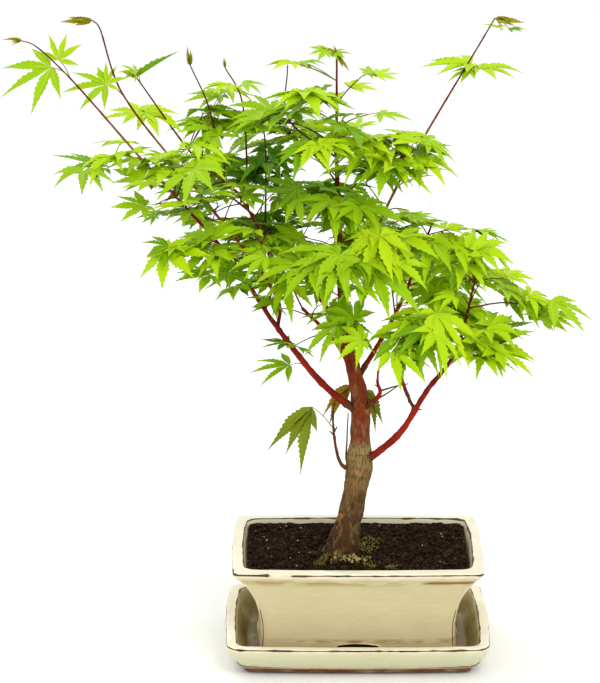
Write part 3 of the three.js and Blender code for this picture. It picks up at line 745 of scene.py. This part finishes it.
def make_trunk():
    """The trunk, furrowed low down, with its roots spreading at the soil and knobs at old forks."""
    chance = random.Random(3)
    foot, tip = LIMBS["trunk"][2:4]
    spots = lumps_along(chance, 14, 0.06, 0.45, 1.5) + lumps_along(chance, 12, 0.18, 0.225, 1.3)
    spots += [(0.19, 0.3, 2.6, 0.014), (0.21, 3.0, 1.6, 0.012), (0.29, 3.4, 2.0, 0.016),
              (0.36, 0.6, 1.4, 0.016)]
    flare, lowest_fork = 0.075, LIMBS["right_bough"][1]

    def radius_at(share, angle):
        roots = max(0, 1 - share / flare)
        old_fork = 1.3 * math.exp(-((share - lowest_fork) / 0.032) ** 2)
        girth = tip + (foot - tip) * (1 - share) ** 1.7 + 2.4 * roots ** 1.4 + old_fork
        lobes = 1 + roots * (0.15 * math.cos(3 * angle + 0.4) + 0.1 * math.cos(5 * angle + 2))
        return girth * lobes * MM

    def relief_at(point, share, angle):
        worn = max(0.12, 1 - share / 0.55)
        tall = Vector((point.x, point.y, point.z * 0.3)) / MM
        furrows = -abs(unevenness(tall, 4.5, 4)) * 1.5 + 0.35
        return worn * (furrows + 0.7 * unevenness(point / MM, 13)) + knobs(spots, share, angle)

    skin = Skin()
    points, faces, marks = tube(paths["trunk"], radius_at, 64, 420, relief_at)
    skin.add(points, faces, marks=marks)
    return skin.piece("maple_trunk", "trunk_bark", [trunk_bark], ["trunk"], "furrow")


def make_surface_roots():
    """Roots that leave the flare and dive into the soil within the pot."""
    chance = random.Random(23)
    skin = Skin()
    roots = 6
    for number in range(roots):
        heading = 360 * number / roots + chance.uniform(-18, 18)
        start = TRUNK_FOOT + growth((9.5, heading, 0)) + UP * 3.6 * MM
        dive = (chance.uniform(5, 10), heading + chance.uniform(-30, 30), -24)
        path = grow(start, [(6, heading, -18), dive])
        thick = chance.uniform(1.4, 2.3)
        points, faces, marks = tube(path, lambda share, angle, t=thick: t * (1 - 0.75 * share) * MM, 10, 18,
                                    lambda point, share, angle: 0.4 * unevenness(point / MM, 4))
        skin.add(points, faces, marks=marks)
    return skin.piece("surface_roots", "trunk_bark", [trunk_bark], mark="furrow")


def make_limb(name):
    """A bough or shoot with a collar where it leaves its parent and a joint at each old leaf pair. Its
    marks say how far along it is: as a share of a shoot, or of the length at which a bough is red."""
    foot, tip = LIMBS[name][2:4]
    path = paths[name]
    young = name in YOUNG
    joint, grown = 26 * MM, 120 * MM

    def radius_at(share, angle):
        collar = 0.4 * math.exp(-share * path.length / (4 * MM))
        along = (share * path.length / joint) % 1
        node = 0.16 * math.exp(-((along - 0.5) / 0.07) ** 2)
        return (tip + (foot - tip) * (1 - share) ** THINS.get(name, 1)) * (1 + collar + node) * MM

    def relief_at(point, share, angle):
        gnarled = 0 if young else 1.3 * math.exp(-share * path.length / (7 * MM))
        return (0.1 if young else 0.3) * unevenness(point / MM, 6) + gnarled * unevenness(point / MM, 3)

    skin = Skin()
    steps = max(24, int(path.length / (1.6 * MM)))
    around = 14 if young else 20
    points, faces, _ = tube(path, radius_at, around, steps, relief_at)
    full = 1 if young else path.length / grown
    ages = [min(1, full * step / steps) for step in range(steps + 1) for _ in range(around)]
    skin.add(points, faces, marks=ages)
    bark = shoot_bark if young else shaded_twig_bark if name == "low_left_twig" else red_bark
    return skin.piece(name + "_skin", "young_shoot" if young else "red_bark", [bark], [name], "along")


# ---- leaves ------------------------------------------------------------------------------------

# Each lobe: its angle from the middle lobe in degrees and its length as a share of the longest.
FIVE_LOBES = [(-78, 0.68), (-38, 0.93), (0, 1.0), (38, 0.93), (78, 0.68)]
SEVEN_LOBES = [(-122, 0.36), (-80, 0.7), (-39, 0.94), (0, 1.0), (39, 0.94), (80, 0.7), (122, 0.36)]
LIMP_LOBES = [(-43, 0.36), (-16, 0.93), (11, 0.76), (29, 1.0)]
FURLED_LOBES = [(-30, 0.45), (-5, 1.0), (14, 0.9)]
FOLDED_LOBES = [(-9, 0.6), (0, 1.0), (9, 0.7)]
LOBE_STEPS = 14
TIP_STEPS = 1  # how many of those steps have gone dry
TOOTH = 0.2  # how far a tooth stands out, as a share of the lobe's half width


def lobe_half_width(share, start, width):
    """Half the width of a lobe, from its sinus to its long drawn-out tip."""
    widest = 0.34
    if share < widest:
        return start + (width - start) * math.sin(share / widest * math.pi / 2)
    return width * (1 - ((share - widest) / (1 - widest)) ** 1.15) ** 1.7


def flat_leaf(lobes, width, sinus, chance, steps=LOBE_STEPS):
    """The outline of one leaf as points (x, y, distance from the vein) with faces, the petiole at the
    origin and the middle lobe along Y, one long. Veins and dry tips have finishes of their own."""
    points, faces, finishes = [(0.0, 0.0, 0.0)], [], []
    for number, (angle, length) in enumerate(lobes):
        length *= chance.uniform(0.88, 1.08)
        turn = math.radians(angle + chance.uniform(-5, 5))
        along, across = Vector((math.sin(turn), math.cos(turn))), Vector((math.cos(turn), -math.sin(turn)))
        ribs = []
        for side in (-1, 1):
            neighbour = number + side
            if 0 <= neighbour < len(lobes):
                half = math.radians(abs(lobes[neighbour][0] - angle)) / 2
                reach = sinus * min(length, lobes[neighbour][1])
            else:
                half, reach = math.radians(34), 0.1
            base_along, base_out = reach * math.cos(half), reach * math.sin(half)
            edge, vein = [], []
            for step in range(steps + 1):
                share = step / steps
                out = lobe_half_width(share, base_out, width * (0.55 + 0.45 * length))
                forward = base_along + (length - base_along) * share
                if 0 < step < steps - 1:
                    out *= 1 + (TOOTH if step % 2 else -TOOTH * 0.5) * (1 - 0.4 * share)
                    forward += (0.45 if step % 2 else -0.1) * (length - base_along) / steps
                spot = along * forward + across * side * out
                edge.append((spot.x, spot.y, out))
                rib = along * (length * share) + across * side * 0.009 * (1 - share) * min(1, share * 8)
                vein.append((rib.x, rib.y, 0.0))
            start = len(points)
            points.extend(edge)
            points.extend(vein[1:])
            rib = [0] + [start + len(edge) + i for i in range(steps)]
            for step in range(steps):
                face = (rib[step], rib[step + 1], start + step + 1, start + step)
                faces.append(face if side > 0 else tuple(reversed(face)))
                finishes.append(TIP if step >= steps - TIP_STEPS else 0)
            ribs.append(rib)
        left, right = ribs
        faces.append((0, left[1], right[1]))
        faces += [(left[step], left[step + 1], right[step + 1], right[step]) for step in range(1, steps)]
        finishes += [VEIN] * steps
    return points, faces, finishes


outline_chance = random.Random(41)
OUTLINES = [flat_leaf(SEVEN_LOBES if i % 3 else FIVE_LOBES, outline_chance.uniform(0.098, 0.132),
                      outline_chance.uniform(0.25, 0.34), outline_chance) for i in range(12)]
YOUNG_OUTLINES = [flat_leaf(FOLDED_LOBES, 0.07, 0.4, outline_chance) for _ in range(3)]
LIMP_OUTLINES = {"olive_leaf": [flat_leaf(LIMP_LOBES, 0.09, 0.3, outline_chance, 24)],
                 "bronze_leaves": [flat_leaf(FURLED_LOBES, 0.12, 0.4, outline_chance, 20)]}
SLENDER_OUTLINES = [flat_leaf(FIVE_LOBES, 0.085, 0.27, outline_chance, 16) for _ in range(4)]
CLOSED_OUTLINES = [flat_leaf([(0, 1.0)], 0.055, 0.2, outline_chance, 16)]
BOX_SPARE = 11 * MM  # how far a leaf may stand out of the frame's box


def back_inside(points):
    """The shift that brings a leaf back inside the frame's box and its spare."""
    shift = Vector()
    for axis in range(3):
        lowest = min(point[axis] for point in points) - CAD_BOX[0][axis] + BOX_SPARE
        highest = max(point[axis] for point in points) - CAD_BOX[1][axis] - BOX_SPARE
        shift[axis] = -min(lowest, 0) - max(highest, 0)
    return shift


def add_leaf(skin, base, forward, face_up, size, tint, chance, droop=0.15, fold=0.3, outlines=OUTLINES):
    """One leaf from the end of its stalk, with its middle lobe along forward and its upper face towards
    face_up. Its lobes fold up along their veins, arch over and hang at their tips. Gives back where
    the stalk meets it."""
    points, faces, finishes = chance.choice(outlines)
    forward = forward.normalized()
    side = forward.cross(face_up).normalized()
    top = side.cross(forward).normalized()
    wave, curl = chance.uniform(0, math.tau), chance.uniform(0.5, 1.5)
    placed = []
    for x, y, rib_gap in points:
        reach = math.hypot(x, y)
        lift = fold * rib_gap + 0.035 * curl * math.sin(5 * math.atan2(x, y) + wave) * reach
        local = side * x + forward * y + top * lift
        hang = droop * reach * reach * (0.8 + 0.4 * reach)
        placed.append(base + (local - UP * hang) * size)
    shift = back_inside(placed)
    tints = len(LEAF_TINTS[skin.kind])
    skin.add([point + shift for point in placed], faces,
             [tints + 2 + finish if finish < 0 else tint for finish in finishes])
    return base + shift


class Foliage(Skin):
    """The leaves of one kind on one part of the crown, joined."""

    def __init__(self, kind):
        super().__init__()
        self.kind = kind

    def tint(self, chance, inner=False, sunny=True):
        """The finish of one leaf. Leaves deep in the crown take the darker tints as painted shade."""
        if self.kind != "fresh_leaf":
            return chance.randrange(len(LEAF_TINTS[self.kind]))
        if inner:
            return chance.choice((0, 0, 2, 2, 3))
        return chance.choices(range(4), SUNNY_SHARES if sunny else SHADED_SIDE_SHARES)[0]


stalks = Skin()
twigs = Skin()


def add_stalk(start, end, sag, thick, skin):
    """A leaf stalk or fine twig as a thin arching tube."""
    middle = start.lerp(end, 0.5) + UP * sag
    thin_tube(skin, CentreLine([start, middle, end], 5), thick * 1.25, thick * 0.4, 5, 7)


class Pad:
    """The place of one mass, read from its node: its middle, its lie and its reach all round."""

    def __init__(self, name):
        mesh = frame["nodes"][name].data
        self.name = name
        self.spots = [vertex.co.copy() for vertex in mesh.vertices]
        upward, middle, total = Vector(), Vector(), 0.0
        for face in mesh.polygons:
            if face.normal.z > 0.05:
                upward += face.normal * face.area
                middle += face.center * face.area
                total += face.area
        self.top = upward.normalized()
        self.middle = middle / total
        self.right = (Vector((1, 0, 0)) - self.top * self.top.x).normalized()
        self.back = self.top.cross(self.right)
        self.foot = self.nearest_limb()
        self.fringe = [spot for spot in self.spots if (spot - self.foot).length > 6 * MM]
        self.size = sum(self.reach(i * math.tau / 12) for i in range(12)) / 12

    def nearest_limb(self):
        """Where the stem of the mass leaves its limb."""
        spots = (path.at(step / 40) for path in paths.values() for step in range(41))
        return min(spots, key=lambda here: min((spot - here).length for spot in self.spots))

    def way(self, angle):
        return self.right * math.cos(angle) + self.back * math.sin(angle)

    def reach(self, angle):
        way = self.way(angle)
        near = [(spot - self.middle).dot(way) for spot in self.fringe
                if (spot - self.middle).dot(way) > 0.75 * (spot - self.middle).length]
        return max(near, default=18 * MM)


LEAF_GROUND = 360  # square millimetres of pad for each leaf, and more where the crown is open


def scattered(pad, count, chance):
    """Places for leaf middles on a pad, each the best of a few tries at keeping clear of the rest."""
    spots = []
    for _ in range(count):
        tries = []
        for _ in range(14):
            angle = chance.uniform(0, math.tau)
            spot = pad.way(angle) * pad.reach(angle) * 0.76 * chance.random() ** 0.5
            room = min(((spot - other).length for other in spots), default=chance.random())
            tries.append((room, spot.x, spot.y, spot.z))
        spots.append(Vector(max(tries)[1:]))
    return spots


def levelness(place):
    """How level leaves lie, 0 to 1: high up and to the left they spread flat, low down and to the
    right they hang towards the light in front."""
    height = (place.z / MM - 270) / 130
    left = -place.x / MM / 160
    return max(0.1, min(1.0, 0.2 + 0.55 * height + 0.45 * left))


def add_spray(skin, pad, chance):
    """A mass as leaves: a twig from its limb forks to the leaves, each on a stalk of its own, and
    the blades lie in loose layers that point away from the limb."""
    heart = pad.middle - pad.top * 3 * MM
    add_stalk(pad.foot, heart, 0.08 * (heart - pad.foot).length, 0.55, twigs)
    away = pad.middle - pad.foot
    level = levelness(pad.middle)
    # Masses right of the middle, nearer the light, take more of the lit tints: painted light.
    sunny = pad.middle.x > 0
    main_tint = skin.tint(chance, sunny=sunny)
    ground_each = LEAF_GROUND * (1.45 if pad.middle.x < -75 * MM else 1)
    count = max(3, round(math.pi * (pad.size / MM) ** 2 / ground_each))
    for spot in scattered(pad, count, chance):
        blade = min(chance.triangular(24, 44, 36) * MM, max(pad.size * 1.4, 17 * MM))
        wish = spot * 1.5 + away * 0.45 + Vector((pad.middle.x * 0.08, pad.middle.y * 0.08, 0))
        lean = Vector((chance.gauss(0, 0.24), chance.gauss(0, 0.24), 0))
        face_up = (pad.top.lerp(UP, level) + lean).normalized()
        flat = wish - face_up * wish.dot(face_up)
        turned = Matrix.Rotation(chance.gauss(0, 0.6), 3, face_up) @ flat.normalized()
        forward = (turned - face_up * chance.uniform(-0.1, 0.16)).normalized()
        layer = chance.uniform(-0.8, 0.9)
        base = pad.middle + spot + pad.top * layer * 10 * MM - forward * blade * 0.42
        # Leaves low in the mass take the darker inner tints: painted shade.
        inner = layer < -0.25
        tint = main_tint if chance.random() < 0.55 and not inner else skin.tint(chance, inner, sunny)
        hanging = chance.random() < 0.34 * (1 - level)
        base = add_leaf(skin, base, forward, face_up, blade, tint, chance,
                        droop=chance.uniform(0.24, 0.4) if hanging else chance.uniform(0.05, 0.32),
                        fold=chance.uniform(0.25, 0.8))
        fork = heart.lerp(base, 0.4)
        add_stalk(heart, fork, 1 * MM, 0.42, twigs)
        add_stalk(fork, base, 2 * MM, 0.34, stalks)


def add_pair(skin, pad, chance):
    """Two leaves that face each other across a joint of a thin shoot, nearly level and seen edge-on,
    and a smaller one between them."""
    for side, share in ((-1, 1), (1, 0.85), (chance.choice((-1, 1)), 0.5)):
        heading = 0 if side > 0 else math.pi
        blade = min(pad.reach(heading) * 1.02 * share, 40 * MM)
        forward = pad.way(heading + chance.gauss(0, 0.4)) + UP * chance.uniform(-0.12, 0.18)
        face_up = (UP + Vector((chance.gauss(0, 0.25), chance.gauss(0, 0.12) - 0.1, 0))).normalized()
        base = pad.middle + forward * 3 * MM + UP * chance.uniform(-2, 3) * MM
        base = add_leaf(skin, base, forward, face_up, blade, skin.tint(chance), chance,
                        droop=chance.uniform(0.06, 0.3), fold=chance.uniform(0.3, 0.7))
        add_stalk(pad.foot, base, 1.5 * MM, 0.32, stalks)


# Leaves that hang or stand alone: where the stalk meets the blade from the middle of the mass, in
# millimetres, the way of the middle lobe, the way of the upper face and the length of that lobe.
LONE_LEAVES = {
    "far_left_tip_leaves": [((8, -4, 1), (-0.86, -0.25, -0.4), (-0.25, -0.7, 0.65), 39),
                            ((13, 2, 5), (0.25, 0, 0.96), (-0.35, -0.92, 0.2), 25)],
    "second_left_tip_leaves": [((11, 0, -4), (-1, -0.2, -0.05), (0, -0.6, 0.8), 31),
                               ((12, 0, -3), (0.5, 0, 0.86), (-0.4, -0.9, 0.2), 19)],
    "third_left_tip_leaves": [((-14, 0, -4), (-0.9, -0.2, 0.15), (0, -0.5, 0.85), 16)],
    "olive_leaf": [((14, -2, 15), (-0.42, -0.15, -0.9), (-0.4, -0.8, 0.42), 49)],
    "low_left_leaf": [((10, 0, -1), (-0.98, -0.1, -0.08), (-0.05, -0.25, 0.96), 34)],
    "bronze_leaves": [((-3, -4, 10), (-0.66, -0.1, -0.75), (-0.5, -0.65, 0.5), 31),
                      ((7, -2, 5), (0.5, -0.1, -0.85), (0.55, -0.65, 0.45), 28)],
}
# Masses of a leaf pair or two on a thin shoot, by what their names hold.
EDGE_ON = ("_tip_", "_shoot_", "leader_leaves", "upper_left_leaves")


def add_lone_leaves(skin, pad, chance):
    """The leaves of one mass that stand alone, each on its own stalk."""
    for number, (place, forward, face_up, length) in enumerate(LONE_LEAVES[pad.name]):
        limp = pad.name in LIMP_OUTLINES
        tint = number % 2 if limp else (2, 0)[number % 2]
        base = add_leaf(skin, pad.middle + Vector(place) * MM, Vector(forward), Vector(face_up),
                        length * MM, tint, chance,
                        droop=0.3 if pad.name == "bronze_leaves" else 0.12, fold=0.9 if limp else 0.5,
                        outlines=LIMP_OUTLINES.get(pad.name, SLENDER_OUTLINES))
        add_stalk(pad.foot, base, 2 * MM, 0.36, stalks)


# Short shoots above the crown: the limb, its share, the legs, the length in millimetres of the closed
# bud at the end, and a leaf pair below it as its share of the shoot and the lengths of its two leaves.
SHORT_SHOOTS = [
    ("third_left_shoot", 0.5, [(54, 170, 79), (33, 185, 67)], 16, (0.45, 24, 26)),
    ("third_left_shoot", 0.36, [(82, 150, 86), (24, 195, 62)], 9, (0.84, 27, 18)),
    ("third_left_shoot", 0.22, [(76, 90, 86), (22, 170, 80)], 5, (0.94, 25, 24)),
    ("trunk", 0.8, [(46, 160, 36), (34, 90, 84)], 5, (0.6, 26, 25)),
]

# Young leaves still folded at the end of a shoot: the way and the length in millimetres of each.
SHOOT_ENDS = {
    "far_left_shoot": [((-1, 0, 0.06), 15), ((-0.85, -0.15, -0.3), 9), ((-0.9, 0.2, 0.2), 9)],
    "second_left_shoot": [((-1, 0, -0.04), 25), ((-0.95, -0.2, 0.12), 15), ((-0.9, 0.2, -0.14), 14)],
    "third_left_shoot": [((0.84, 0, 0.54), 42), ((-0.75, -0.2, 0.4), 13), ((0.4, 0, 0.9), 10)],
    "right_long_shoot": [((1, 0, -0.13), 25), ((0.55, -0.3, -0.5), 7)],
    "trunk": [((-0.93, 0, 0.33), 21), ((0.6, -0.1, -0.75), 17), ((-0.35, 0, 0.9), 9)],
}


# Bare fine twigs low down: the limb, its share and the legs.
FINE_TWIGS = [
    ("right_short_bough", 0.22, [(14, 8, 30), (12, 12, 34)]),
    ("right_short_bough", 0.45, [(11, 5, 16), (10, 0, 12)]),
    ("right_short_bough", 0.5, [(4, 190, 35)]),
    ("low_left_twig", 0.62, [(5, 190, 48)]),
    ("low_left_twig", 0.66, [(5, 0, 62)]),
    ("low_left_twig", 0.3, [(4, 180, 60)]),
    ("trunk", 0.19, [(8, 185, 8), (20, 165, 88), (19, 40, 87)]),
    ("right_bough", 0.36, [(5, 350, 10)]),
]


def add_folded(skin, place, way, length, chance):
    """One young leaf, its lobes still folded together along the way."""
    side = Matrix.Rotation(chance.uniform(-0.5, 0.5), 3, way) @ Vector((0, -0.8, 0.6))
    long = length > 30  # past this it has turned green and is only closed
    add_leaf(skin, place, way, side, length * MM, DEEP_GREEN if long else UNFOLDING, chance,
             droop=0.05, fold=1.4, outlines=CLOSED_OUTLINES if long else YOUNG_OUTLINES)


def make_shoot_ends(skin):
    """Folded leaves at the ends of the long shoots, the short shoots between them, and fine twigs."""
    chance = random.Random(77)
    for name, leaves in SHOOT_ENDS.items():
        for way, length in leaves:
            add_folded(skin, paths[name].at(1), Vector(way).normalized(), length, chance)
    for limb, share, legs, bud_length, pair in SHORT_SHOOTS:
        path = grow(paths[limb].at(share), legs)
        thin_tube(twigs, path, 0.85, 0.4, 7, 26)
        bud = path.way(0.99).lerp(UP, 0.7)
        for lean in (-0.07, 0.0, 0.07):
            way = (bud + Vector((lean, chance.uniform(-0.06, 0.06), 0))).normalized()
            add_folded(skin, path.at(1), way, bud_length * (1 - 2.5 * abs(lean)), chance)
        for side, length in ((-1, pair[1]), (1, pair[2])):
            start = path.at(pair[0])
            base = start + Vector((side * 5, chance.uniform(-2, 2), 2)) * MM
            way = Vector((side, chance.uniform(-0.35, 0.2), 0.12))
            add_leaf(skin, base, way, Vector((0, chance.uniform(-0.5, 0), 1)).normalized(), length * MM,
                     chance.choice((0, 2)), chance, droop=0.28, fold=0.5)
            add_stalk(start, base, 0.5 * MM, 0.32, stalks)
    for limb, share, legs in FINE_TWIGS:
        thin_tube(twigs, grow(paths[limb].at(share), legs), 0.8, 0.4, 6, 14)


# Stretches of limb inside the crown that carry short leafy side twigs, from and to as shares.
LEAFY = [("trunk", 0.5, 0.93), ("second_left_shoot", 0.1, 0.5), ("third_left_shoot", 0.1, 0.72),
         ("far_left_shoot", 0.04, 0.4), ("right_long_shoot", 0.14, 0.5), ("right_bough", 0.62, 1),
         ("left_centre_bough", 0.5, 1), ("rear_left_bough", 0.3, 0.95), ("rear_right_bough", 0.4, 1)]
TWIG_STEP = 17 * MM


def make_side_twigs(skins):
    """Side twigs in facing pairs, each pair turned a quarter from the one below, with two or three
    small leaves at their ends. They fill the inside of the crown, where less light falls."""
    chance = random.Random(19)
    for limb, first, last in LEAFY:
        path = paths[limb]
        pairs = max(1, int((last - first) * path.length / TWIG_STEP))
        for number in range(pairs):
            share = first + (last - first) * (number + 0.5) / pairs
            start, way = path.at(share), path.way(share)
            side = Matrix.Rotation(math.pi / 2 * number + chance.uniform(-0.5, 0.5), 3, way) @ \
                way.orthogonal().normalized()
            for sign in (-1, 1):
                out = (side * sign + way * 0.35 + UP * 0.15).normalized()
                end = start + out * chance.uniform(12, 34) * MM
                add_stalk(start, end, 1.5 * MM, 0.42, twigs)
                skin = skins["rear" if end.y > 0.03 else side_of(end.x)]
                for _ in range(chance.choice((1, 2, 2))):
                    level_out = Vector((out.x + chance.gauss(0, 0.7), out.y + chance.gauss(0, 0.7), 0.05))
                    base = end + level_out.normalized() * chance.uniform(5, 12) * MM
                    face_up = UP + Vector((chance.gauss(0, 0.3), chance.gauss(0, 0.3) - 0.2, 0))
                    # These leaves inside the crown take the darker tints: painted shade.
                    base = add_leaf(skin, base, level_out, face_up.normalized(),
                                    chance.triangular(15, 33, 23) * MM, skin.tint(chance, True), chance,
                                    droop=chance.uniform(0.0, 0.25), fold=chance.uniform(0.1, 0.5))
                    add_stalk(end, base, 1 * MM, 0.3, stalks)


SLOTS = {row["node"]: row["material_slot"] for row in frame["record"]["subparts"]}


def side_of(x):
    """The side of the crown at a place along X, in metres."""
    return "left" if x < -0.075 else "right" if x > 0.03 else "centre"


def region(name):
    """The part of the crown a mass belongs to, so that no joined piece grows too large."""
    if SLOTS[name] != "fresh_leaf":
        return SLOTS[name]
    low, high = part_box(name)
    return "rear" if name.startswith("rear") else side_of((low[0] + high[0]) / 2)


def make_foliage():
    """All leaves with their stalks and twigs, joined by kind and by part of the crown."""
    masses = sorted(name for name in frame["nodes"] if name.endswith(("_leaves", "_leaf")))
    groups = {}
    for name in masses:
        groups.setdefault(region(name), []).append(name)
    skins = {group: Foliage(SLOTS[names[0]]) for group, names in groups.items()}
    for group, names in groups.items():
        for name in names:
            edge_on = any(word in name for word in EDGE_ON)
            add = add_lone_leaves if name in LONE_LEAVES else add_pair if edge_on else add_spray
            add(skins[group], Pad(name), random.Random(name))
    make_shoot_ends(skins["left"])
    make_side_twigs(skins)
    for group, skin in skins.items():
        title = group + "_sprays" if group.endswith("leaf") else "fresh_leaves_" + group
        skin.piece(title, skin.kind, LEAF_FINISHES[skin.kind], groups[group])
    stalks.piece("leaf_stalks", "young_shoot", [stalk_skin])
    twigs.piece("fine_twigs", "red_bark", [shaded_twig_bark])


# ---- the plant ---------------------------------------------------------------------------------

make_tray()
make_pot()
make_soil()
make_crumbs()
make_moss()
make_trunk()
make_surface_roots()
for limb_name in LIMBS:
    if limb_name != "trunk":
        make_limb(limb_name)
make_foliage()


# ---- floor, light and camera -------------------------------------------------------------------

def make_floor():
    """A plain pale floor, wide enough to fill the view."""
    mesh = bpy.data.meshes.new("studio_floor")
    reach = 9.0
    mesh.from_pydata([(-reach, -reach, 0), (reach, -reach, 0), (reach, reach, 0), (-reach, reach, 0)], [],
                     [(0, 1, 2, 3)])
    paint = Paint("matt_white_floor", roughness=0.9, base_color=(0.94, 0.94, 0.94, 1))
    mesh.materials.append(paint.material)
    floor = bpy.data.objects.new("studio_floor", mesh)
    bpy.context.collection.objects.link(floor)


def add_light(name, place, goal, size, watts):
    """A round soft light of a width in metres that faces its goal."""
    light = bpy.data.lights.new(name, "AREA")
    light.shape, light.size, light.energy = "DISK", size, watts
    made = bpy.data.objects.new(name, light)
    made.location = place
    made.rotation_euler = (Vector(goal) - Vector(place)).to_track_quat("-Z", "Y").to_euler()
    bpy.context.collection.objects.link(made)


def light_studio():
    """Even white light all round, a soft light in front and a weaker one behind."""
    world = bpy.data.worlds.new("white_studio")
    bpy.context.scene.world = world
    world.use_nodes = True
    sky = world.node_tree.nodes["Background"]
    sky.inputs["Color"].default_value = (1, 1, 1, 1)
    sky.inputs["Strength"].default_value = 1.03
    crown = (0, 0, 0.28)
    add_light("large_soft_light", (0.8, -1.6, 1.9), crown, 1.2, 17)
    add_light("back_light", (-0.8, 1.2, 1.6), crown, 1.0, 8)
    bpy.context.scene.view_settings.view_transform = "Standard"


def place_camera():
    """A long lens a little above the crown."""
    lens = bpy.data.cameras.new("view_camera")
    lens.lens, lens.sensor_width, lens.clip_end = 157.5, 36, 30
    camera = bpy.data.objects.new("view_camera", lens)
    camera.location = (-0.042, -2.067, 0.831)
    camera.rotation_euler = (math.radians(73.9), 0, 0)
    bpy.context.collection.objects.link(camera)
    bpy.context.scene.camera = camera


make_floor()
light_studio()
place_camera()
